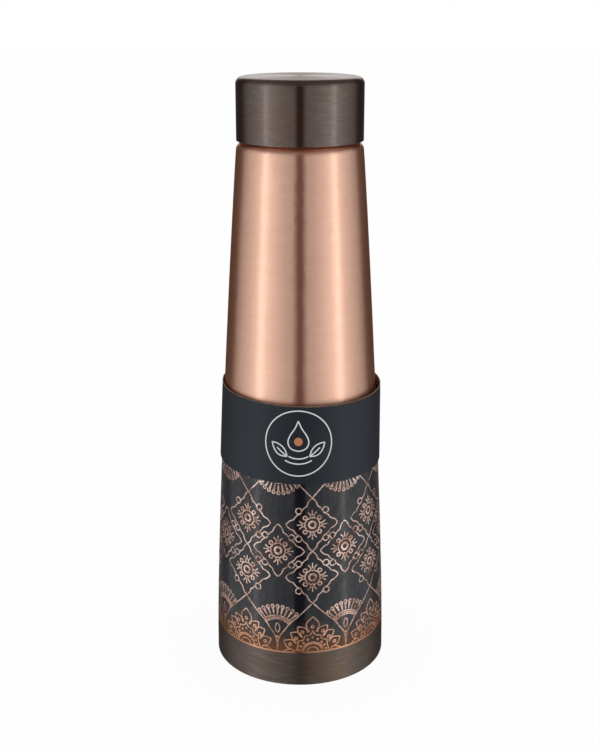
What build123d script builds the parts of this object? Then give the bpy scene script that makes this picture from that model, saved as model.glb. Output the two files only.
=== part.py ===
"""Tapered copper water bottle with a bronze foot, a screw cap and a loose card sleeve.

Millimetres, +Z up. The origin is the centre of the foot, on the surface the bottle stands on.
"""
import os
from math import degrees, sqrt

from build123d import *

os.makedirs("parts", exist_ok=True)

# ---- body -------------------------------------------------------------------
body_height = 242.3         # table to the flat of the shoulder
base_radius = 39.8
foot_straightness = 54.0    # how far up the outline keeps upright before it tapers
shoulder_radius = 27.4      # outline carried up to the shoulder, before it is rounded
shoulder_slope = 0.082      # taper just under the shoulder, radius lost per height
shoulder_reach = 37.0       # how far down that slope pulls on the outline
shoulder_round = 3.4
shell_wall = 0.6
braze_gap = 0.1             # room for solder between pieces of the vessel

# ---- foot -------------------------------------------------------------------
band_height = 16.4          # table to the joint between foot and shell
spigot_wall = 0.6           # the part of the foot that fits inside the shell
spigot_height = 6.0
foot_edge_round = 0.5
floor_wall = 0.9
recess_radius = 32.0        # raised middle of the floor, so that only a ring stands on the table
recess_depth = 1.5
recess_run = 2.5            # width of the cone between the ring and the raised middle

# ---- neck -------------------------------------------------------------------
shoulder_ledge = 2.8        # flat of the shoulder left outside the neck
neck_wall = 1.2
lip_round = 0.5
collar_flange = 2.2         # how far the flange reaches out under the shoulder
collar_flange_wall = 1.2

# ---- thread, right-handed, one start ---------------------------------------
thread_lead = 4.0
thread_depth = 0.9
thread_root_width = 2.0
thread_crest_width = 1.0
thread_clearance = 0.35     # radial, between crests and the walls that face them
thread_turns = 1.75
cap_thread_turns = 1.5
thread_start = 7.7          # shoulder to the middle of the first turn
thread_bite = 0.3           # how deep a ridge is rooted in the wall that carries it

# ---- cap --------------------------------------------------------------------
cap_gap = 0.7               # shoulder to the cap's skirt
cap_height = 27.0
cap_overhang = 0.1          # cap's side outside the shoulder's
cap_wall = 0.8
cap_top_wall = 1.0
cap_dome = 0.3              # rise of the top's middle over its edge
cap_edge_round = 3.1
skirt_edge_round = 0.25
insert_wall = 0.9
insert_top_wall = 1.4
insert_flange_wall = 1.2
insert_setback = 0.6        # skirt edge to the flange that closes it
press_gap = 0.05            # insert flange inside the skirt

# ---- seal -------------------------------------------------------------------
seal_wall = 2.0
seal_clearance = 0.3        # seal to the insert's bore
seal_overhang = 0.3         # seal's bore outside the mouth's
seal_rest_gap = 0.05
seal_edge_round = 0.3

# ---- card sleeve ------------------------------------------------------------
sleeve_height = 36.0
sleeve_card = 0.3
sleeve_clearance = 0.42     # card to body at the sleeve's lower edge
sleeve_lift = 99.2          # table to the middle of its lower edge
sleeve_top_play = 1.35      # extra radius the card keeps over the body at its upper edge
sleeve_lean_right = 1.08    # degrees, towards +X
sleeve_lean_front = 1.45    # degrees, towards -Y
seam_width = 12.0           # glued overlap, at the back
seam_setback = 0.4          # how far the overlapping end stops short of both edges

# ---- derived ----------------------------------------------------------------
neck_radius = shoulder_radius - shoulder_round - shoulder_ledge
mouth_radius = neck_radius - neck_wall
thread_crest_radius = neck_radius + thread_depth
insert_bore = thread_crest_radius + thread_clearance
insert_radius = insert_bore + insert_wall
cap_radius = shoulder_radius + cap_overhang
skirt_bore = cap_radius - cap_wall
cap_bottom = body_height + cap_gap
cap_top = cap_bottom + cap_height
insert_top = cap_top - cap_top_wall - cap_dome
insert_ceiling = insert_top - insert_top_wall
insert_bottom = cap_bottom + insert_setback
seal_bottom = insert_ceiling - seal_wall
neck_top = seal_bottom - seal_rest_gap
thread_bottom = body_height + thread_start
flange_top = body_height - shell_wall
flange_bottom = flange_top - collar_flange_wall
spigot_inset = shell_wall + braze_gap
spigot_top = band_height + spigot_height
foot_inset = spigot_inset + spigot_wall
recess_edge = recess_radius + recess_run


def outline(inset):
    """Control points of the bottle's side, radius and height, drawn inset from its outside."""
    top = body_height - inset
    return [
        (base_radius - inset, 0),
        (base_radius - inset, foot_straightness),
        (shoulder_radius + shoulder_slope * shoulder_reach - inset, top - shoulder_reach),
        (shoulder_radius - inset, top),
    ]


def outline_radius(height):
    """Outside radius of the bottle at a height, found by halving along the outline."""
    (r0, z0), (r1, z1), (r2, z2), (r3, z3) = outline(0)
    low, high = 0.0, 1.0
    for _ in range(40):
        t = (low + high) / 2
        s = 1 - t
        z = s**3 * z0 + 3 * s * s * t * z1 + 3 * s * t * t * z2 + t**3 * z3
        low, high = (t, high) if z < height else (low, t)
    return s**3 * r0 + 3 * s * s * t * r1 + 3 * s * t * t * r2 + t**3 * r3


def bottle_form(inset):
    """Solid of the whole bottle without its neck, inset from its outside."""
    with BuildPart() as form:
        with BuildSketch(Plane.XZ):
            with BuildLine():
                side = Bezier(*outline(inset))
                Polyline(side @ 1, (0, body_height - inset), (0, 0), side @ 0)
            make_face()
        revolve(axis=Axis.Z)
        fillet(form.faces().sort_by(Axis.Z)[-1].edges(), shoulder_round - inset)
    return form.part


def between(form, low, high):
    """The part of a solid that lies between two heights."""
    with BuildPart() as slab:
        add(form)
        split(bisect_by=Plane.XY.offset(low), keep=Keep.TOP)
        split(bisect_by=Plane.XY.offset(high), keep=Keep.BOTTOM)
    return slab.part


def turned(*points, arc=360):
    """Solid turned from a closed outline of radius and height points, counter-clockwise from +X."""
    with BuildPart() as blank:
        with BuildSketch(Plane.XZ):
            with BuildLine():
                Polyline(*points, close=True)
            make_face()
        revolve(axis=Axis.Z, revolution_arc=arc)
    return blank.part


def cap_form(inset, top_inset):
    """Solid cap blank with a shallow dome, inset from the cap's outside."""
    radius = cap_radius - inset
    top = cap_top - top_inset
    ball = (radius**2 + cap_dome**2) / (2 * cap_dome)
    half_way = top - ball + sqrt(ball**2 - (radius / 2) ** 2)
    with BuildPart() as form:
        with BuildSketch(Plane.XZ):
            with BuildLine():
                crown = ThreePointArc((0, top), (radius / 2, half_way), (radius, top - cap_dome))
                Polyline(crown @ 1, (radius, cap_bottom), (0, cap_bottom), (0, top))
            make_face()
        revolve(axis=Axis.Z)
        side = form.faces().filter_by(GeomType.CYLINDER)[0]
        fillet(side.edges().group_by(Axis.Z)[-1], cap_edge_round - inset)
    return form.part


def thread_ridge(wall_radius, direction, start, turns):
    """Helical ridge on a wall; direction is 1 for an outside thread and -1 for an inside one."""
    flank = (thread_root_width - thread_crest_width) / 2 / thread_depth
    root = wall_radius - direction * thread_bite
    crest = wall_radius + direction * thread_depth
    half_root = thread_root_width / 2 + flank * thread_bite
    half_crest = thread_crest_width / 2
    with BuildPart() as ridge:
        with BuildLine():
            path = Helix(thread_lead, turns * thread_lead, wall_radius, center=(0, 0, start))
        with BuildSketch(Plane.XZ):
            with BuildLine():
                Polyline(
                    (root, start - half_root),
                    (crest, start - half_crest),
                    (crest, start + half_crest),
                    (root, start + half_root),
                    close=True,
                )
            make_face()
        sweep(path=path, is_frenet=True)
    return ridge.part


# ---- body shell: drawn copper wall, rolled in at the shoulder ----------------
outer_form = bottle_form(0)
inner_form = bottle_form(shell_wall)

with BuildPart() as body_shell:
    add(outer_form)
    add(inner_form, mode=Mode.SUBTRACT)
    split(bisect_by=Plane.XY.offset(band_height), keep=Keep.TOP)
    with Locations((0, 0, body_height)):
        Hole(radius=neck_radius + braze_gap, depth=2 * shell_wall)

# ---- base cup: bronze foot with a spigot inside the shell --------------------
foot_band = between(outer_form, 0, band_height)
spigot_blank = between(bottle_form(spigot_inset), floor_wall, spigot_top)
foot_hollow = between(bottle_form(foot_inset), floor_wall, spigot_top)
floor_hump = turned(
    (0, 0),
    (recess_edge, 0),
    (recess_edge, floor_wall),
    (recess_radius, floor_wall + recess_depth),
    (0, floor_wall + recess_depth),
)
underside_recess = turned(
    (0, 0), (recess_edge, 0), (recess_radius, recess_depth), (0, recess_depth)
)

with BuildPart() as foot_room:
    add(foot_hollow)
    add(floor_hump, mode=Mode.SUBTRACT)

with BuildPart() as base_cup:
    add(foot_band)
    fillet(base_cup.faces().sort_by(Axis.Z)[0].edges(), foot_edge_round)
    add(spigot_blank)
    add(foot_room.part, mode=Mode.SUBTRACT)
    add(underside_recess, mode=Mode.SUBTRACT)

# ---- neck collar: threaded mouth, brazed in under the shoulder ---------------
collar_tube = turned(
    (mouth_radius, flange_bottom),
    (neck_radius + collar_flange, flange_bottom),
    (neck_radius + collar_flange, flange_top),
    (neck_radius, flange_top),
    (neck_radius, neck_top),
    (mouth_radius, neck_top),
)
outer_thread = thread_ridge(neck_radius, 1, thread_bottom, thread_turns)

with BuildPart() as neck_collar:
    add(collar_tube)
    fillet(neck_collar.faces().sort_by(Axis.Z)[-1].edges(), lip_round)
    add(outer_thread)

# ---- cap shell: domed bronze cover -------------------------------------------
cap_blank = cap_form(0, 0)
cap_hollow = cap_form(cap_wall, cap_top_wall)

with BuildPart() as cap_shell:
    add(cap_blank)
    add(cap_hollow, mode=Mode.SUBTRACT)
    fillet(cap_shell.faces().sort_by(Axis.Z)[0].edges(), skirt_edge_round)

# ---- cap insert: threaded cup pressed into the shell -------------------------
insert_cup = turned(
    (insert_bore, insert_bottom),
    (skirt_bore - press_gap, insert_bottom),
    (skirt_bore - press_gap, insert_bottom + insert_flange_wall),
    (insert_radius, insert_bottom + insert_flange_wall),
    (insert_radius, insert_top),
    (0, insert_top),
    (0, insert_ceiling),
    (insert_bore, insert_ceiling),
)
inner_thread = thread_ridge(insert_bore, -1, thread_bottom - thread_lead / 2, cap_thread_turns)

with BuildPart() as cap_insert:
    add(insert_cup)
    add(inner_thread)

# ---- seal ring: silicone washer between the lip and the cap ------------------
with BuildPart() as seal_ring:
    with BuildSketch(Plane.XY.offset(seal_bottom)):
        Circle(insert_bore - seal_clearance)
        Circle(mouth_radius + seal_overhang, mode=Mode.SUBTRACT)
    extrude(amount=seal_wall)
    fillet(seal_ring.edges().filter_by(GeomType.CIRCLE), seal_edge_round)

# ---- card sleeve: a printed strip glued into a loose, leaning band -----------
sleeve_foot_radius = outline_radius(sleeve_lift) + sleeve_clearance
sleeve_head_radius = outline_radius(sleeve_lift + sleeve_height) + sleeve_top_play
sleeve_band = turned(
    (sleeve_foot_radius, 0),
    (sleeve_foot_radius + sleeve_card, 0),
    (sleeve_head_radius + sleeve_card, sleeve_height),
    (sleeve_head_radius, sleeve_height),
)
seam_angle = degrees(seam_width / sleeve_foot_radius)
seam_flap = turned(
    (sleeve_foot_radius + sleeve_card / 2, seam_setback),
    (sleeve_foot_radius + 2 * sleeve_card, seam_setback),
    (sleeve_head_radius + 2 * sleeve_card, sleeve_height - seam_setback),
    (sleeve_head_radius + sleeve_card / 2, sleeve_height - seam_setback),
    arc=seam_angle,
)

with BuildPart() as card_sleeve:
    with Locations(Location((0, 0, sleeve_lift), (sleeve_lean_front, sleeve_lean_right, 0))):
        add(sleeve_band)
        add(seam_flap, rotation=(0, 0, 90 - seam_angle / 2))

pieces = {
    "body_shell": body_shell,
    "base_cup": base_cup,
    "neck_collar": neck_collar,
    "cap_shell": cap_shell,
    "cap_insert": cap_insert,
    "seal_ring": seal_ring,
    "card_sleeve": card_sleeve,
}
for name, piece in pieces.items():
    piece.part.label = name
    export_step(piece.part, f"parts/{name}.step")
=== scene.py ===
"""Looks of the copper water bottle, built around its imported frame. Metres, +Z up, front at -Y."""
from math import cos, hypot, pi, radians, sin, tau

import bpy
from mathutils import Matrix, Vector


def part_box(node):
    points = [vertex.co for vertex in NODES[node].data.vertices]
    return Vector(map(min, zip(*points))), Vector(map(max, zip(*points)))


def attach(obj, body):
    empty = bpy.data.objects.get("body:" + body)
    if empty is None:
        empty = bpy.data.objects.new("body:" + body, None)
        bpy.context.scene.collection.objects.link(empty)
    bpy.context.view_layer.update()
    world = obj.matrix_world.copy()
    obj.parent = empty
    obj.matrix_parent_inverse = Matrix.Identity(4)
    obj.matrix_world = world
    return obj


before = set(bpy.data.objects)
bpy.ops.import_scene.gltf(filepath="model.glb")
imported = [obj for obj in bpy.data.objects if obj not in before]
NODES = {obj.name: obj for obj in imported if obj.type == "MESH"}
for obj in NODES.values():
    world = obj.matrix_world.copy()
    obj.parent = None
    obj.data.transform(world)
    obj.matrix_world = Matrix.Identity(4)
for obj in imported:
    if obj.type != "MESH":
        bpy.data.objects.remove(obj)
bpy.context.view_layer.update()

MM = 0.001
SCENE = bpy.context.scene

# ---- sizes ------------------------------------------------------------------------------------

SHELL_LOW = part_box("body_shell")[0]
SLEEVE_LOW, SLEEVE_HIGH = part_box("card_sleeve")

RING_TOP = SHELL_LOW.z + 0.8 * MM       # upper edge of the bare copper ring over the foot
LACQUER_TOP = 116.5 * MM                # behind the sleeve
WALL_FOOT = 40.09 * MM                  # the outer wall's line, carried down to the table
WALL_SLOPE = 0.0253                     # how fast it narrows there
WALL_BOW = 0.135                        # how much faster it narrows higher up, per metre

BAYS = 7
BAY_WIDE = 31.2             # one bay as drawn, at the front, mm
ROW_HIGH = 25.1             # from a diamond to the next one up in its column, mm
MID = 66.5                  # the pattern mirrors about this height, mm
FIRST_COLUMN = radians(9.24)
SQUEEZE = 0.0855            # how much closer the hand-set bays stand at the front than at the back

CARD_FOOT = 99.2 * MM       # table to the middle of the card's lower edge
CARD_HIGH = 36.0 * MM
CARD_LEAN = (radians(1.45), radians(1.08), 0.0)     # to the front, and to the right
CARD_FACE = 36.80 * MM      # radius at the lower edge that parts the print from the raw board inside
CARD_TAPER = 0.0280         # how fast that radius narrows up the card
EMBLEM_RADIUS = 37.6 * MM   # of the card, where the emblem is printed on it
EMBLEM_TURN = radians(-1.1)
EMBLEM_HEIGHT = (SLEEVE_LOW.z + SLEEVE_HIGH.z) / 2 + 0.1 * MM
ENGRAVED_LINE = 0.54        # width of the lines, and how far they stand proud, mm
ENGRAVED_PROUD = 0.035
EMBLEM_LINE = 0.55
DOT_LINE = 0.95
PRINT_PROUD = 0.02


# ---- shader maths -----------------------------------------------------------------------------

class Val:
    """A number in a node tree: + - * / on it add the Math nodes."""

    def __init__(self, tree, socket):
        self.tree, self.socket = tree, socket

    def __add__(self, other):
        return self.tree.math("ADD", self, other)

    def __radd__(self, other):
        return self.tree.math("ADD", other, self)

    def __sub__(self, other):
        return self.tree.math("SUBTRACT", self, other)

    def __rsub__(self, other):
        return self.tree.math("SUBTRACT", other, self)

    def __mul__(self, other):
        return self.tree.math("MULTIPLY", self, other)

    def __rmul__(self, other):
        return self.tree.math("MULTIPLY", other, self)

    def __truediv__(self, other):
        return self.tree.math("DIVIDE", self, other)

    def __rtruediv__(self, other):
        return self.tree.math("DIVIDE", other, self)


class Tree:
    """A node tree that expressions are written in."""

    def __init__(self, nodes, links):
        self.nodes, self.links = nodes, links

    def node(self, kind, settings=None, sockets=None, out=0):
        """Any node: its settings are set first, then its sockets; returns the output or outputs asked for."""
        made = self.nodes.new(kind)
        for key, value in (settings or {}).items():
            if key == "stops":
                self.stops(made, value)
            else:
                setattr(made, key, value)
        for key, value in (sockets or {}).items():
            socket = made.inputs[key]
            if isinstance(value, Val):
                self.links.new(value.socket, socket)
            else:
                socket.default_value = value
        if isinstance(out, tuple):
            return [Val(self, made.outputs[one]) for one in out]
        return Val(self, made.outputs[out])

    def stops(self, ramp_node, stops):
        """Sets a ramp's stops from (place, colour or grey level) pairs."""
        ramp = ramp_node.color_ramp
        while len(ramp.elements) < len(stops):
            ramp.elements.new(1.0)
        for element, (place, shade) in zip(ramp.elements, stops):
            element.position = place
            element.color = (*shade, 1.0) if isinstance(shade, tuple) else (shade, shade, shade, 1.0)

    def math(self, operation, a, b=0.0):
        return self.node("ShaderNodeMath", {"operation": operation}, {0: a, 1: b})

    def vector(self, operation, a, b):
        return self.node("ShaderNodeVectorMath", {"operation": operation}, {0: a, 1: b})

    def scaled(self, vector, factor):
        return self.node("ShaderNodeVectorMath", {"operation": "SCALE"}, {0: vector, "Scale": factor})

    def split(self, vector):
        return self.node("ShaderNodeSeparateXYZ", None, {0: vector}, out=(0, 1, 2))

    def join(self, x, y, z):
        return self.node("ShaderNodeCombineXYZ", None, {0: x, 1: y, 2: z})

    def mix(self, share, a, b):
        """Colour a where share is 0 and b where it is 1."""
        return self.node("ShaderNodeMix", {"data_type": "RGBA"}, {0: share, 6: rgba(a), 7: rgba(b)}, out=2)

    def ease(self, value, low, high, start=0.0, end=1.0):
        """Turns smoothly from start to end as value goes from low to high."""
        return self.node(
            "ShaderNodeMapRange",
            {"interpolation_type": "SMOOTHSTEP"},
            {0: value, 1: low, 2: high, 3: start, 4: end},
        )

    def noise(self, vector, scale, detail, roughness=0.5):
        return self.node(
            "ShaderNodeTexNoise",
            None,
            {"Vector": vector, "Scale": scale, "Detail": detail, "Roughness": roughness},
        )

    def grain(self, place, marks, detail, roughness):
        """Noise with its own number of marks per metre along each axis."""
        return self.noise(self.vector("MULTIPLY", place, marks), 1.0, detail, roughness)

    def place(self):
        """Place on the piece, in metres."""
        return self.node("ShaderNodeTexCoord", out=3)


def rgba(colour):
    return (*colour, 1.0) if isinstance(colour, tuple) and len(colour) == 3 else colour


def material(name, build, **constants):
    """A Principled material: constants go on its own sockets, and build(tree) returns what varies."""
    made = bpy.data.materials.new(name)
    made.use_nodes = True
    shader = made.node_tree.nodes["Principled BSDF"]
    tree = Tree(made.node_tree.nodes, made.node_tree.links)
    for key, value in constants.items():
        shader.inputs[key.replace("_", " ")].default_value = rgba(value)
    for key, value in build(tree).items():
        made.node_tree.links.new(value.socket, shader.inputs[key])
    return made


def bump(tree, height, distance, strength):
    return tree.node("ShaderNodeBump", None, {"Height": height, "Distance": distance, "Strength": strength})


# ---- finishes ---------------------------------------------------------------------------------

COPPER = (0.90, 0.560, 0.425)
COPPER_DEEP = (0.84, 0.490, 0.360)
COPPER_TARNISH = (0.42, 0.20, 0.11)
BRONZE = (0.158, 0.121, 0.108)
BRONZE_WARM = (0.180, 0.116, 0.085)
BRONZE_GREY = (0.172, 0.146, 0.136)
# bare bronze in the fine brush marks, lightened further as painted highlight glints
BRONZE_BARE_AND_PAINTED_GLINTS = (0.30, 0.245, 0.21)
FOOT_DARK = (0.115, 0.090, 0.076)
FOOT_WARM = (0.160, 0.098, 0.062)
FOOT_GREY = (0.140, 0.120, 0.108)
LACQUER = (0.0026, 0.0062, 0.0125)
LACQUER_RUBBED = (0.130, 0.050, 0.022)
LACQUER_SCUFFED = (0.040, 0.040, 0.044)
LINE_COPPER = (0.95, 0.74, 0.66)
LINE_COPPER_LOW = (0.78, 0.40, 0.23)
LINE_COPPER_DULL = (0.30, 0.140, 0.080)
SILICONE = ((0.66, 0.65, 0.60), (0.76, 0.75, 0.71))
SLATE_INK = ((0.0066, 0.0116, 0.0188), (0.0090, 0.0148, 0.0230))
# raw brown card, painted lighter and warmer than bare card as a reflection of the copper shining into the
# sleeve
BOARD_AND_PAINTED_REFLECTION = ((0.20, 0.105, 0.058), (0.34, 0.205, 0.125))
WHITE_INK = ((0.66, 0.67, 0.68), (0.78, 0.79, 0.80))
COPPER_INK = ((0.46, 0.15, 0.055), (0.56, 0.20, 0.08))
WHITE = (1.0, 1.0, 1.0)

HALO_HIGH = 10.5 * MM       # how high the rusty edge reaches over the ring, and how ragged it is
HALO_RAGGED = 9.0 * MM
FAINT = 0.34                # how rubbed the lacquer is over the flowers and inside the diamonds
MARKS_ROUND = 3.0           # about how many brush marks a radian round the axis crosses


def polar(tree, place):
    """Distance from the axis, angle from the front towards +X, and height."""
    x, y, z = tree.split(place)
    return tree.math("SQRT", x * x + y * y), tree.math("ARCTAN2", x, 0.0 - y), z


def round_marks(tree, place, fineness, length=1.0, detail=4.0):
    """Noise drawn out round the axis, as turning and brushing leave: fineness is marks per metre."""
    radius, turn, z = polar(tree, place)
    across = tree.join(
        tree.math("SINE", turn) * (MARKS_ROUND / length),
        tree.math("COSINE", turn) * (MARKS_ROUND / length),
        (z + radius) * fineness,
    )
    return tree.noise(across, 1.0, detail, 0.62)


def bay_angle(tree, turn):
    """Angle counted in even bays from the first column."""
    even = turn + tree.math("SINE", turn + tree.math("SINE", turn) * SQUEEZE) * SQUEEZE
    return even - FIRST_COLUMN


def rubbed_lacquer(tree, turn, z, clouds, fine):
    """How rubbed the lacquer is in all, and how rubbed it is inside the diamonds."""
    ragged = clouds - 0.5
    halo = tree.ease(z + ragged * HALO_RAGGED, RING_TOP, RING_TOP + HALO_HIGH, 1.0, 0.0)
    columns = tree.math("COSINE", bay_angle(tree, turn) * BAYS)
    flowers = tree.ease(z - columns * 5.5 * MM + ragged * 6.0 * MM, 21.0 * MM, 33.0 * MM, FAINT, 0.0)
    rows = tree.math("COSINE", (z - (MID - ROW_HIGH / 2) * MM) * (tau / (ROW_HIGH * MM)))
    reach = tree.math("ABSOLUTE", z - MID * MM) - columns * 6.5 * MM
    inside = tree.ease(columns * rows, 0.05, 0.75, 0.0, FAINT)
    inside = inside * tree.ease(reach, 17.0 * MM, 21.0 * MM, 1.0, 0.0)
    rubbed = tree.math("MAXIMUM", halo * (0.70 + fine * 0.5), tree.math("MAXIMUM", flowers, inside))
    return rubbed, inside


def copper_body(tree):
    """Brushed copper above, black lacquer below with a rubbed edge over the bare ring at the joint."""
    place = tree.place()
    radius, turn, z = polar(tree, place)
    fine = round_marks(tree, place, 2600.0)
    broad = round_marks(tree, place, 260.0, 2.0, 3.0)
    clouds = tree.noise(place, 38.0, 3.0, 0.55)

    outside = radius - (WALL_FOOT - z * WALL_SLOPE - z * z * WALL_BOW)
    outside = tree.ease(outside, -0.40 * MM, -0.25 * MM)
    lacquer = tree.ease(z, RING_TOP - 0.05 * MM, RING_TOP + 0.10 * MM)
    lacquer = lacquer * tree.ease(z, LACQUER_TOP - 0.1 * MM, LACQUER_TOP + 0.1 * MM, 1.0, 0.0) * outside
    rubbed, inside = rubbed_lacquer(tree, turn, z, clouds, fine)
    scuffs = tree.ease(tree.grain(place, (420.0, 420.0, 110.0), 3.0, 0.6), 0.60, 0.78)
    scuffs = scuffs * tree.ease(clouds, 0.48, 0.62)

    bright = tree.mix(tree.ease(broad * 0.35 + fine * 0.65, 0.30, 0.62), COPPER_DEEP, COPPER)
    bright = tree.mix(tree.ease(z, RING_TOP, RING_TOP + 1.0 * MM, 0.75, 0.0), bright, COPPER_TARNISH)
    black = tree.mix(rubbed, LACQUER, LACQUER_RUBBED)
    black = tree.mix(scuffs * 0.6, black, LACQUER_SCUFFED)

    mottle = tree.grain(place, (700.0, 700.0, 260.0), 4.0, 0.65)
    gloss = tree.ease(mottle, 0.34, 0.62, 0.66, 1.0) * (1.0 - rubbed * 0.7) * (1.0 - inside * 0.9)
    metal_rough = 0.25 + fine * 0.16
    lacquer_rough = 0.20 + rubbed * 0.25 + clouds * 0.10
    return {
        "Base Color": tree.mix(lacquer, bright, black),
        "Metallic": 1.0 - lacquer,
        "Roughness": metal_rough * (1.0 - lacquer) + lacquer_rough * lacquer,
        "Coat Weight": lacquer * gloss,
        "Normal": bump(tree, fine * (1.0 - lacquer * 0.8), 0.012 * MM, 0.7),
    }


def bronze(dark, warm, grey, rough):
    """Antique bronze plating, brushed round, with warmer and greyer bands, and fine marks lightened as bare
    metal and as painted glints.
    """
    def build(tree):
        place = tree.place()
        fine = round_marks(tree, place, 2300.0)
        bands = round_marks(tree, place, 900.0, 0.6, 3.0)
        clouds = tree.noise(place, 70.0, 3.0, 0.6)
        colour = tree.mix(tree.ease(bands, 0.40, 0.66), dark, grey)
        colour = tree.mix(tree.ease(clouds, 0.44, 0.70) * 0.6, colour, warm)
        # lightens the fine brush marks: partly worn bare bronze, partly painted highlight glints
        colour = tree.mix(tree.ease(fine, 0.50, 0.78) * 0.30, colour, BRONZE_BARE_AND_PAINTED_GLINTS)
        return {
            "Base Color": colour,
            "Roughness": rough + fine * 0.16,
            "Normal": bump(tree, fine, 0.012 * MM, 0.8),
        }
    return build


def turned_copper(tree):
    """Machined copper of the neck and the insert, with fine turning marks and some dulling."""
    place = tree.place()
    fine = round_marks(tree, place, 3000.0)
    clouds = tree.noise(place, 90.0, 3.0, 0.6)
    return {
        "Base Color": tree.mix(tree.ease(clouds, 0.40, 0.70), COPPER, COPPER_DEEP),
        "Roughness": 0.24 + fine * 0.16,
        "Normal": bump(tree, fine, 0.010 * MM, 0.7),
    }


def silicone(tree):
    """Soft washer, slightly cloudy and dusty."""
    place = tree.place()
    clouds = tree.noise(place, 260.0, 3.0, 0.6)
    return {
        "Base Color": tree.mix(clouds, *SILICONE),
        "Roughness": 0.42 + clouds * 0.2,
        "Normal": bump(tree, tree.noise(place, 2400.0, 2.0), 0.02 * MM, 0.4),
    }


def printed_card(tree):
    """Dark slate print outside, worn at the upper edge, and raw brown card on the edges and inside, whose
    colour also holds a painted reflection of the copper.
    """
    place = tree.place()
    upright = tree.node(
        "ShaderNodeMapping",
        {"vector_type": "TEXTURE"},
        {"Vector": place, "Location": (0.0, 0.0, CARD_FOOT), "Rotation": CARD_LEAN},
    )
    radius, _, z = polar(tree, upright)
    printed = tree.ease(radius + z * CARD_TAPER, CARD_FACE, CARD_FACE + 0.08 * MM)
    fibres = tree.grain(place, (500.0, 500.0, 900.0), 3.0, 0.6)
    speckle = tree.noise(place, 1500.0, 2.0, 0.6)
    wear = tree.ease(z + (fibres - 0.5) * 1.2 * MM, CARD_HIGH - 0.45 * MM, CARD_HIGH - 0.05 * MM)
    ink = tree.mix(tree.noise(place, 30.0, 2.0), *SLATE_INK)
    # raw card colour with painted reflected copper light in it
    board_and_reflection = tree.mix(fibres, *BOARD_AND_PAINTED_REFLECTION)
    return {
        "Base Color": tree.mix(printed * (1.0 - wear * 0.6), board_and_reflection, ink),
        "Roughness": (0.78 - printed * 0.40) + speckle * 0.08,
        "Normal": bump(tree, fibres * 0.5 + speckle * 0.5, 0.010 * MM, 0.5),
    }


def engraved_copper(tree):
    """Copper laid bare by the engraving: pinker higher up, browner near the foot."""
    place = tree.place()
    z = tree.split(place)[2]
    grain = tree.noise(place, 900.0, 2.0, 0.7)
    clouds = tree.noise(place, 120.0, 3.0, 0.6)
    low = tree.ease(z + (clouds - 0.5) * 12.0 * MM, 17.0 * MM, 44.0 * MM, 1.0, 0.0)
    colour = tree.mix(low, LINE_COPPER, LINE_COPPER_LOW)
    dull = tree.ease(grain * 0.5 + clouds * 0.5, 0.38, 0.66)
    return {
        "Base Color": tree.mix(dull, colour, LINE_COPPER_DULL),
        "Roughness": 0.40 + grain * 0.16,
        "Metallic": 0.80 + clouds * 0.18,
        "Normal": bump(tree, grain, 0.03 * MM, 0.6),
    }


def print_ink(shades):
    """Ink printed on the card, a little uneven."""
    def build(tree):
        grain = tree.noise(tree.place(), 1800.0, 2.0, 0.6)
        return {"Base Color": tree.mix(grain, *shades), "Roughness": 0.42 + grain * 0.12}
    return build


# ---- ornament and emblem ----------------------------------------------------------------------

HALF_BAY = BAY_WIDE / 2
RING_LINE = RING_TOP / MM   # the drawings stand on this height, mm
STEP = 1.2                  # about how far apart the points of a straight stroke are, mm
MANY_POINTS = 12            # a stroke of more points than this needs fewer steps between them


def leaning(angle, height, along, across=0.0):
    """A point along and across a line that starts at a height and leans by an angle from straight up."""
    return along * sin(angle) + across * cos(angle), height + along * cos(angle) - across * sin(angle)


class Drawing:
    """Strokes drawn flat in millimetres: sideways from a column, and height."""

    def __init__(self):
        self.strokes = []

    def stroke(self, *points, closed=False):
        """Adds a stroke; a straight one gets points between its ends, so that it can bend round the wall."""
        if len(points) == 2:
            (x0, y0), (x1, y1) = points
            steps = max(2, round(hypot(x1 - x0, y1 - y0) / STEP))
            points = [(x0 + (x1 - x0) * i / steps, y0 + (y1 - y0) * i / steps) for i in range(steps + 1)]
        self.strokes.append((list(points), closed))

    def both(self, *points):
        """The stroke and its mirror image about the column."""
        self.stroke(*points)
        self.stroke(*[(-x, y) for x, y in points])

    def ring(self, x, y, r, n=8):
        self.stroke(*[(x + r * cos(tau * i / n), y + r * sin(tau * i / n)) for i in range(n)], closed=True)

    def arc(self, y, r, start, end, n=8):
        """Arc about a height between two angles in degrees from straight up, positive to the right."""
        self.stroke(*[leaning(radians(start + (end - start) * i / n), y, r) for i in range(n + 1)])

    def mirrored_about(self, height):
        """Adds the mirror image of every stroke about a height."""
        for points, closed in list(self.strokes):
            self.strokes.append(([(x, 2 * height - y) for x, y in points], closed))

    def add(self, other, x=0.0):
        for points, closed in other.strokes:
            self.strokes.append(([(px + x, py) for px, py in points], closed))

    def curve(self, name):
        """The strokes as smooth curves lying flat, in metres."""
        data = bpy.data.curves.new(name, "CURVE")
        data.dimensions = "3D"
        for points, closed in self.strokes:
            spline = data.splines.new("BEZIER")
            spline.resolution_u = 2 if len(points) > MANY_POINTS else 3
            spline.bezier_points.add(len(points) - 1)
            spline.use_cyclic_u = closed
            for knot, (x, y) in zip(spline.bezier_points, points):
                knot.co = (x * MM, y * MM, 0.0)
                knot.handle_left_type = knot.handle_right_type = "AUTO"
        drawn = bpy.data.objects.new(name, data)
        SCENE.collection.objects.link(drawn)
        return drawn


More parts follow.
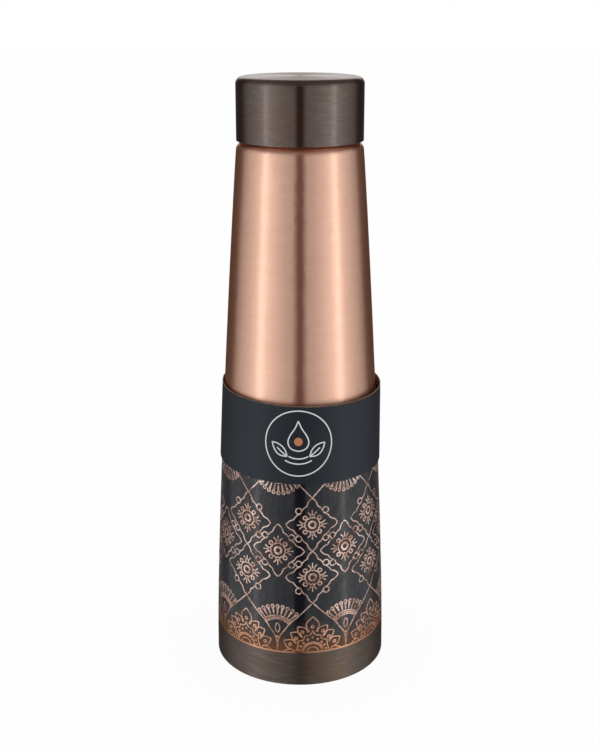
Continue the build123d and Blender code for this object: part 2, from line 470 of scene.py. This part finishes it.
def flower(height):
    """The rosette in a diamond: two rings, a scalloped one, four loops and four three-stroke leaves."""
    d = Drawing()
    for eye in (1.75, 1.35):
        d.ring(0, height, eye)
    n = 24
    scallops = [3.35 + (0.25 if i % 2 else -0.1) for i in range(n)]
    d.stroke(*[leaning(tau * i / n, height, r) for i, r in enumerate(scallops)], closed=True)
    for quarter in range(4):
        turn = radians(90 * quarter)
        d.stroke(leaning(turn, height, 4.3), leaning(turn, height, 7.0))
        for side in (-1, 1):
            leaf = ((3.9, 0.7), (4.9, 1.0), (6.0, 2.0))
            d.stroke(*[leaning(turn, height, along, across * side) for along, across in leaf])
        d.ring(*leaning(turn + radians(45), height, 4.65), 0.85, 6)
    return d


def diamond(height):
    """A diamond frame with wavy sides, a small ring on each side and a flower inside."""
    d = flower(height)
    half_high, half_wide = 12.5, 12.0
    wave, hollow = 0.50 * 0.7, 1.05 * 0.7
    steps = 16
    for right in (-1, 1):
        for up in (-1, 1):
            side = []
            for i in range(steps + 1):
                t = i / steps
                swell = wave * abs(sin(4 * pi * t)) - hollow * sin(pi * t)
                side.append((right * (half_wide * t + swell), height + up * (half_high * (1 - t) + swell)))
            d.stroke(*side)
            d.ring(right * 6.2, height + up * 6.6, 1.35)
    return d


def ogee():
    """The long lines that fall from a column's lowest tip to the stem of the next fan."""
    d = Drawing()
    d.both(
        (0, 41.4), (6.3, 34.9), (10.1, 31.2), (12.5, 27.7), (14.4, 24.9),
        (HALF_BAY - 0.25, 22.2), (HALF_BAY - 0.1, 19.6), (HALF_BAY, RING_LINE),
    )
    return d


def fan():
    """The fan that stands between two columns: looped stalks over an arc, with a drop under it."""
    d = Drawing()
    stalks, spread, foot = 9, 43.5, 27.0
    for i in range(stalks):
        lean = radians(spread * (2 * i / (stalks - 1) - 1))
        for side in (-1, 1):
            edge = ((12.2, 0.62), (11.2, 0.22), (9.6, 0.10))
            d.stroke(*[leaning(lean, foot, along, across * side) for along, across in edge])
        d.ring(*leaning(lean, foot, 12.4), 0.66, 6)
        d.stroke(leaning(lean, foot, 11.6), leaning(lean, foot, 8.6))
    n = 18
    scallops = [8.25 + (0.35 if i % 2 else 0.0) for i in range(n + 1)]
    d.stroke(*[leaning(radians(90 * i / n - 45), 26.4, r) for i, r in enumerate(scallops)])
    d.arc(26.1, 7.75, -50, 50)
    d.arc(26.1, 6.95, -51, 51)
    d.stroke((0, 31.0), (0.85, 29.6), (0.9, 28.0), (0.0, 26.5), (-0.9, 28.0), (-0.85, 29.6), closed=True)
    d.ring(0, 24.4, 0.3, 5)
    return d


def half_mandala():
    """The half flower that stands on the ring under each column."""
    d = Drawing()
    for r in (2.5, 4.2, 4.9):
        d.arc(17.0, r, -88, 88)
    for x, y in ((2.2, 23.3), (4.0, 21.65), (5.2, 20.0), (6.0, 18.2)):
        d.ring(x, y, 0.32, 5)
        d.ring(-x, y, 0.32, 5)
    d.ring(0, 24.4, 0.32, 5)
    d.both((0, 27.7), (1.2, 25.6), (3.5, 25.2))
    d.both((3.5, 25.2), (4.2, 23.2), (6.5, 22.7))
    d.both((6.5, 22.7), (6.5, 20.2), (7.4, 17.6))
    petals = (
        ((1.5, 27.0), (2.9, 30.8), (0.0, 34.6), None, (0.0, 29.6)),
        ((2.0, 26.9), (3.2, 29.0), (6.7, 29.8), (6.3, 26.6), (4.6, 27.1)),
        ((4.6, 24.6), (6.3, 27.0), (9.8, 26.7), (8.6, 23.4), (7.3, 23.9)),
        ((7.2, 21.3), (9.2, 23.2), (12.7, 22.7), (11.3, 19.5), (9.9, 20.9)),
    )
    lap = 2.6
    for root, belly, tip, back, loop in petals:
        d.both(root, belly, tip)
        if back:
            d.both(tip, back, (root[0] + lap, root[1] - lap))
            d.ring(-loop[0], loop[1], 0.62, 6)
        d.ring(loop[0], loop[1], 0.62, 6)
    d.both((8.0, RING_LINE), (9.3, 18.5), (10.8, 18.3), (13.0, RING_LINE))
    return d


def bay_drawing():
    """Everything in one bay: a column, and what stands between it and the next one."""
    bay = Drawing()
    bay.add(ogee())
    bay.add(fan(), HALF_BAY)
    bay.add(half_mandala())
    bay.add(diamond(MID - ROW_HIGH / 2))
    bay.mirrored_about(MID)
    bay.add(diamond(MID), HALF_BAY)
    return bay


def emblem_drawing():
    """A plain ring with a drop over two ripples and a leaf each side."""
    d = Drawing()
    d.ring(0, 0, 15.0, 32)
    d.both((0, 10.4), (1.5, 7.0), (4.0, 3.0), (4.6, 0.2), (3.2, -2.4), (0, -3.5))
    d.both((5.0, -6.0), (6.2, -2.6), (9.2, -0.2), (11.9, 0.3))
    d.both((5.0, -6.0), (8.6, -5.4), (10.8, -3.0), (11.9, 0.3))
    d.both((5.0, -6.0), (7.6, -3.9), (9.6, -2.0))
    d.arc(2.6, 9.6, 153, 207)
    d.arc(2.6, 12.0, 150, 210)
    return d


def dot_drawing(line):
    """Two rings inside each other, which a line of that width fills to a dot inside the drop."""
    d = Drawing()
    for turn in (0.5, 1.5):
        d.ring(0, 0.9, turn * line, 12)
    return d


def wrapped_lines():
    """Geometry nodes that sweep flat strokes, repeat them round the axis and lay them on a surface."""
    group = bpy.data.node_groups.new("lines laid on a round wall", "GeometryNodeTree")
    face = group.interface
    face.new_socket("Strokes", in_out="INPUT", socket_type="NodeSocketGeometry")
    for name, kind in (
        ("Wall", "Object"), ("Bays", "Int"), ("Bay drawn", "Float"), ("First column", "Float"),
        ("Squeeze", "Float"), ("Height", "Float"), ("Line width", "Float"), ("Line proud", "Float"),
        ("Line material", "Material"),
    ):
        face.new_socket(name, in_out="INPUT", socket_type="NodeSocket" + kind)
    face.new_socket("Lines", in_out="OUTPUT", socket_type="NodeSocketGeometry")
    tree = Tree(group.nodes, group.links)
    source = group.nodes.new("NodeGroupInput")
    given = {s.name: Val(tree, s) for s in source.outputs if s.name}

    flat = tree.node("GeometryNodeSetCurveNormal", {"mode": "Z_UP"}, {"Curve": given["Strokes"]})
    top_share = 0.72        # width of a line's upper face over its lower one, which is sunk in the wall
    section = tree.node(
        "GeometryNodeCurvePrimitiveQuadrilateral",
        {"mode": "TRAPEZOID"},
        {"Bottom Width": given["Line width"], "Top Width": given["Line width"] * top_share,
         "Height": given["Line proud"] * 2.0, "Offset": 0.0},
    )
    swept = tree.node(
        "GeometryNodeCurveToMesh", None, {"Curve": flat, "Profile Curve": section, "Fill Caps": True},
    )
    number = tree.node("GeometryNodeInputIndex")
    along = tree.join(number * given["Bay drawn"], 0.0, 0.0)
    spots = tree.node("GeometryNodePoints", None, {"Count": given["Bays"], "Position": along})
    rows = tree.node("GeometryNodeInstanceOnPoints", None, {"Points": spots, "Instance": swept})
    real = tree.node("GeometryNodeRealizeInstances", None, {"Geometry": rows})

    x, y, proud = tree.split(tree.node("GeometryNodeInputPosition"))
    even = x / given["Bay drawn"] * (tau / given["Bays"]) + given["First column"]
    turn = even - tree.math("SINE", even) * given["Squeeze"]
    out = tree.join(tree.math("SINE", turn), 0.0 - tree.math("COSINE", turn), 0.0)
    beyond = 0.1            # metres from the axis, outside every wall
    start = tree.vector("ADD", tree.scaled(out, beyond), tree.join(0.0, 0.0, y + given["Height"]))
    wall = tree.node(
        "GeometryNodeObjectInfo", {"transform_space": "ORIGINAL"}, {"Object": given["Wall"]}, out=4,
    )
    hit = tree.node(
        "GeometryNodeRaycast",
        {"data_type": "FLOAT"},
        {"Target Geometry": wall, "Source Position": start,
         "Ray Direction": tree.scaled(out, -1.0), "Ray Length": 2 * beyond},
        out=1,
    )
    laid = tree.node(
        "GeometryNodeSetPosition",
        None,
        {"Geometry": real, "Position": tree.vector("ADD", hit, tree.scaled(out, proud))},
    )
    flat_shaded = tree.node("GeometryNodeSetShadeSmooth", None, {"Geometry": laid, "Shade Smooth": False})
    done = tree.node(
        "GeometryNodeSetMaterial", None, {"Geometry": flat_shaded, "Material": given["Line material"]},
    )
    target = group.nodes.new("NodeGroupOutput")
    group.links.new(done.socket, target.inputs[0])
    return group


def laid_on(name, drawn, group, finish, **inputs):
    """Evaluates the lines on their wall and keeps the result as a plain mesh."""
    keys = {s.name: s.identifier for s in group.interface.items_tree if s.in_out == "INPUT"}
    modifier = drawn.modifiers.new("lines", "NODES")
    modifier.node_group = group
    for key, value in inputs.items():
        modifier[keys[key.replace("_", " ")]] = value
    modifier[keys["Line material"]] = finish
    bpy.context.view_layer.update()
    graph = bpy.context.evaluated_depsgraph_get()
    mesh = bpy.data.meshes.new_from_object(drawn.evaluated_get(graph))
    mesh.name = name
    made = bpy.data.objects.new(name, mesh)
    SCENE.collection.objects.link(made)
    bpy.data.objects.remove(drawn)
    mesh.materials.clear()
    mesh.materials.append(finish)
    mesh.polygons.foreach_set("material_index", [0] * len(mesh.polygons))
    return made


def on_sleeve(name, drawing, group, finish, line):
    """Lays a drawing on the front of the sleeve, as one bay that goes all the way round."""
    return laid_on(
        name, drawing.curve(name + " strokes"), group, finish,
        Wall=NODES["card_sleeve"], Bays=1, Bay_drawn=tau * EMBLEM_RADIUS, First_column=EMBLEM_TURN,
        Squeeze=0.0, Height=EMBLEM_HEIGHT, Line_width=line * MM, Line_proud=PRINT_PROUD * MM,
    )


# ---- the bottle -------------------------------------------------------------------------------

def assign(node, finish):
    """Gives a CAD node its finish, in place of the plain one it was packed with."""
    for slot in NODES[node].material_slots:
        slot.material = finish


ROUND_THE_AXIS = 0.25      # the turn that makes a highlight spread across marks that run round the bottle

body_copper = material(
    "body copper and lacquer", copper_body, Anisotropic=0.9, Anisotropic_Rotation=ROUND_THE_AXIS,
    Coat_Roughness=0.12, Coat_IOR=1.52, Specular_IOR_Level=0.1, Specular_Tint=(0.90, 0.62, 0.50),
)
assign("body_shell", body_copper)
bronze_foot = material(
    "foot bronze", bronze(FOOT_DARK, FOOT_WARM, FOOT_GREY, 0.36), Metallic=1.0,
    Anisotropic=0.6, Anisotropic_Rotation=ROUND_THE_AXIS,
)
assign("base_cup", bronze_foot)
bronze_cap = material(
    "cap bronze", bronze(BRONZE, BRONZE_WARM, BRONZE_GREY, 0.21), Metallic=1.0,
    Specular_Tint=(0.60, 0.58, 0.57), Anisotropic=0.9, Anisotropic_Rotation=ROUND_THE_AXIS,
)
assign("cap_shell", bronze_cap)
for node, name in (("neck_collar", "neck copper"), ("cap_insert", "insert copper")):
    finish = material(name, turned_copper, Metallic=1.0, Anisotropic=0.5, Anisotropic_Rotation=ROUND_THE_AXIS)
    assign(node, finish)
assign("seal_ring", material("washer silicone", silicone, Subsurface_Weight=0.1))
assign("card_sleeve", material("printed card", printed_card, Specular_IOR_Level=0.3))

lines = wrapped_lines()
line_copper = material("engraved copper", engraved_copper)
engraving = laid_on(
    "engraving", bay_drawing().curve("engraving strokes"), lines, line_copper,
    Wall=NODES["body_shell"], Bays=BAYS, Bay_drawn=BAY_WIDE * MM, First_column=FIRST_COLUMN,
    Squeeze=SQUEEZE, Height=0.0, Line_width=ENGRAVED_LINE * MM, Line_proud=ENGRAVED_PROUD * MM,
)
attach(engraving, "bottle")

white_ink = material("white ink", print_ink(WHITE_INK))
emblem = on_sleeve("sleeve_emblem", emblem_drawing(), lines, white_ink, EMBLEM_LINE)
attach(emblem, "sleeve")

accent_ink = material("copper ink", print_ink(COPPER_INK))
emblem_dot = on_sleeve("sleeve_emblem_dot", dot_drawing(DOT_LINE), lines, accent_ink, DOT_LINE)
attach(emblem_dot, "sleeve")


# ---- studio -----------------------------------------------------------------------------------

ROOM_LEVEL = 0.85           # the white world's strength as a light; as a background it is 1
FLOOR_REACH = 6.0           # metres
FLOOR_GLOW = 0.94           # share of its white that glows; the rest is lit, and so keeps a shadow

TENT_RADIUS, TENT_LOW, TENT_HIGH = 0.85, -0.6, 1.2      # metres
TENT_SIDES = 96
TENT_CEILING = 0.26
BACK_LIGHT = 2.7
# Upright bands from the front, 0, round either side to the back, 1, and how bright each one is.
TENT_BANDS = (
    (0.0, 0.083), (0.036, 0.083), (0.046, 0.56), (0.13, 0.62), (0.20, 0.80), (0.27, 0.97),
    (0.325, 1.25), (0.342, 2.0), (0.354, 2.0), (0.37, 1.2), (0.42, 0.92), (0.51, 0.68),
    (0.605, 0.48), (0.645, 0.34), (0.675, 0.15), (0.74, 0.12), (0.86, 0.11), (0.955, 0.15), (0.985, 0.8),
)
DIM_FRONT = (1.0, 0.37, 0.23)
DIM_SIDE = (1.0, 0.82, 0.76)

CAMERA_PLACE = (0.0, -0.5297, 0.3042)
CAMERA_TILT = radians(72.47)
CAMERA_LENS = 58.39


def seen_background(tree):
    """1 where the camera, a reflection or a look through glass sees the background."""
    seen, mirrored, through = tree.node(
        "ShaderNodeLightPath", out=("Is Camera Ray", "Is Glossy Ray", "Is Transmission Ray"),
    )
    return tree.math("MINIMUM", seen + mirrored + through, 1.0)


def white_room():
    """A white world at a plain level."""
    world = bpy.data.worlds.new("white room")
    SCENE.world = world
    world.use_nodes = True
    tree = Tree(world.node_tree.nodes, world.node_tree.links)
    strength = ROOM_LEVEL + seen_background(tree) * (1.0 - ROOM_LEVEL)
    background = world.node_tree.nodes["Background"]
    background.inputs["Color"].default_value = rgba(WHITE)
    world.node_tree.links.new(strength.socket, background.inputs["Strength"])


def stage_finish(name, build):
    """A material for the studio, whose whole shader is what build(tree) returns."""
    made = bpy.data.materials.new(name)
    made.use_nodes = True
    nodes, links = made.node_tree.nodes, made.node_tree.links
    nodes.clear()
    shader = build(Tree(nodes, links))
    output = nodes.new("ShaderNodeOutputMaterial")
    links.new(shader.socket, output.inputs["Surface"])
    return made


def stage_mesh(name, points, faces, finish):
    mesh = bpy.data.meshes.new(name)
    mesh.from_pydata(points, [], faces)
    mesh.materials.append(finish)
    made = bpy.data.objects.new(name, mesh)
    SCENE.collection.objects.link(made)
    return made


def pale_floor(tree):
    """White that a shadow still shows on."""
    plain = tree.node("ShaderNodeBsdfDiffuse", None, {"Color": rgba(WHITE)})
    bright = tree.node("ShaderNodeEmission", None, {"Color": rgba(WHITE), "Strength": 1.0})
    share = seen_background(tree) * FLOOR_GLOW
    return tree.node("ShaderNodeMixShader", None, {0: share, 1: plain, 2: bright})


def white_floor():
    """A plain pale floor that keeps a soft shadow and stays out of reflections."""
    corners = [(x * FLOOR_REACH, y * FLOOR_REACH, 0) for x, y in ((-1, -1), (1, -1), (1, 1), (-1, 1))]
    floor = stage_mesh("floor", corners, [(0, 1, 2, 3)], stage_finish("pale floor", pale_floor))
    floor.visible_glossy = False


def tent_glow(tree):
    """Upright bands of light and shade, a plain ceiling, and a soft light high up at the back."""
    x, y, z = tree.split(tree.place())
    aside = tree.math("ABSOLUTE", tree.math("ARCTAN2", x, 0.0 - y)) / pi
    level = tree.node("ShaderNodeValToRGB", {"stops": TENT_BANDS}, {0: aside})
    overhead = tree.ease(z, 0.62, 0.90)
    level = level * (1.0 - overhead) + overhead * TENT_CEILING
    at_the_back = tree.ease(z, 0.30, 0.44) * tree.ease(z, 0.70, 1.00, 1.0, 0.0) * tree.ease(aside, 0.87, 0.96)
    level = tree.math("MAXIMUM", level, at_the_back * BACK_LIGHT)
    dim = tree.mix(tree.ease(aside, 0.10, 0.50), DIM_FRONT, DIM_SIDE)
    colour = tree.mix(tree.ease(level, 0.02, 0.42), dim, WHITE)
    return tree.node("ShaderNodeEmission", None, {"Color": colour, "Strength": level})


def light_tent():
    """A ring of reflectors and flags, closed above and below, that only reflections see."""
    n = TENT_SIDES
    ring = [(TENT_RADIUS * sin(tau * i / n), -TENT_RADIUS * cos(tau * i / n)) for i in range(n)]
    points = [(x, y, z) for z in (TENT_LOW, TENT_HIGH) for x, y in ring]
    faces = [(i, (i + 1) % n, n + (i + 1) % n, n + i) for i in range(n)]
    points += [(0, 0, TENT_HIGH), (0, 0, TENT_LOW)]
    faces += [(n + i, n + (i + 1) % n, 2 * n) for i in range(n)]
    faces += [((i + 1) % n, i, 2 * n + 1) for i in range(n)]
    tent = stage_mesh("light_tent", points, faces, stage_finish("reflectors and flags", tent_glow))
    for rays in ("camera", "diffuse", "shadow", "transmission"):
        setattr(tent, "visible_" + rays, False)


def main_camera():
    """The camera in front of the bottle, a little above it and tilted down."""
    data = bpy.data.cameras.new("camera")
    data.lens = CAMERA_LENS
    data.sensor_width = 36.0
    data.clip_start = 0.01
    made = bpy.data.objects.new("camera", data)
    SCENE.collection.objects.link(made)
    made.location = CAMERA_PLACE
    made.rotation_euler = (CAMERA_TILT, 0.0, 0.0)
    return made


white_room()
white_floor()
light_tent()
SCENE.camera = main_camera()
SCENE.view_settings.view_transform = "Standard"
